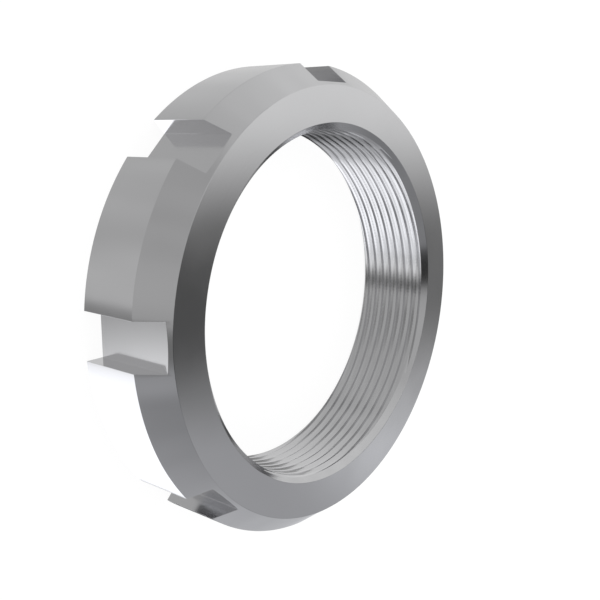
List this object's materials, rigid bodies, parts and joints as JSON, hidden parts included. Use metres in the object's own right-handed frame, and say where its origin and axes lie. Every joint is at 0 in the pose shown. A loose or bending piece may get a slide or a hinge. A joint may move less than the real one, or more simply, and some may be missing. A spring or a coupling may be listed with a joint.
{
  "type": "spindle lock nut",
  "caption": "Round lock nut for a machine spindle, with a fine threaded bore, square spanner slots round its rim and a chamfered clamping face.",
  "frame": {"origin": "centre of the plain rear face, on the bore axis", "axes": "+Z along the bore axis, from the rear face to the chamfered clamping face; +X through the middle of a spanner slot"},
  "size_m": [0.0916, 0.0916, 0.0175],
  "materials": {
    "turned_steel": "fine turned and milled steel, satin and bare, with a bright cut thread"
  },
  "bodies": {
    "root": {"lock_nut": "turned_steel"}
  },
  "joints": []
}
